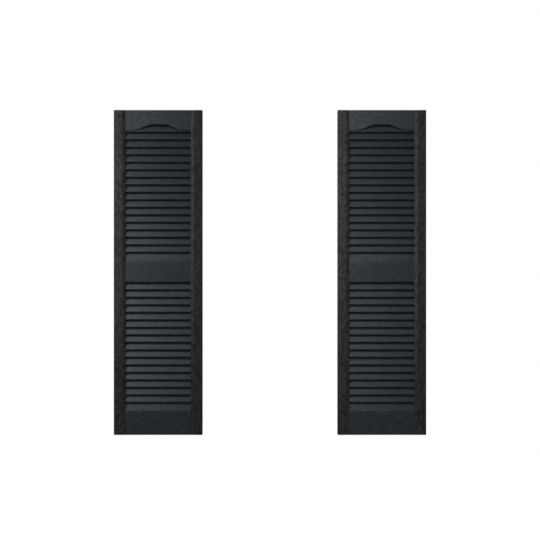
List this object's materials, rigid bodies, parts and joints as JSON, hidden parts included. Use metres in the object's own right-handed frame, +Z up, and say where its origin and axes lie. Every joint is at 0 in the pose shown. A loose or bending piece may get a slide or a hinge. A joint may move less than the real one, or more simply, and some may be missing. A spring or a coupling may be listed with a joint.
{
  "type": "louvred shutters",
  "caption": "Pair of fixed exterior louvred shutters, hollow moulded panels with closed louvres and an arched top rail, screwed to the wall on either side of a window.",
  "frame": {"origin": "on the plane of the wall, midway between the two panels and halfway up them, which is the centre of the four outermost corner screws", "axes": "+X to the right as seen from the street, +Y into the wall, +Z up; the front faces -Y"},
  "size_m": [1.343, 0.079, 1.397],
  "materials": {
    "vinyl": "satin moulded vinyl in bluish charcoal, with a fine embossed wood grain",
    "screw_paint": "heads painted to match the panels, shanks bare zinc-plated steel"
  },
  "bodies": {
    "root": {"left_panel": "vinyl", "right_panel": "vinyl", "left_outer_top_screw": "screw_paint", "left_outer_middle_screw": "screw_paint", "left_outer_bottom_screw": "screw_paint", "left_inner_top_screw": "screw_paint", "left_inner_middle_screw": "screw_paint", "left_inner_bottom_screw": "screw_paint", "right_outer_top_screw": "screw_paint", "right_outer_middle_screw": "screw_paint", "right_outer_bottom_screw": "screw_paint", "right_inner_top_screw": "screw_paint", "right_inner_middle_screw": "screw_paint", "right_inner_bottom_screw": "screw_paint"}
  },
  "joints": []
}
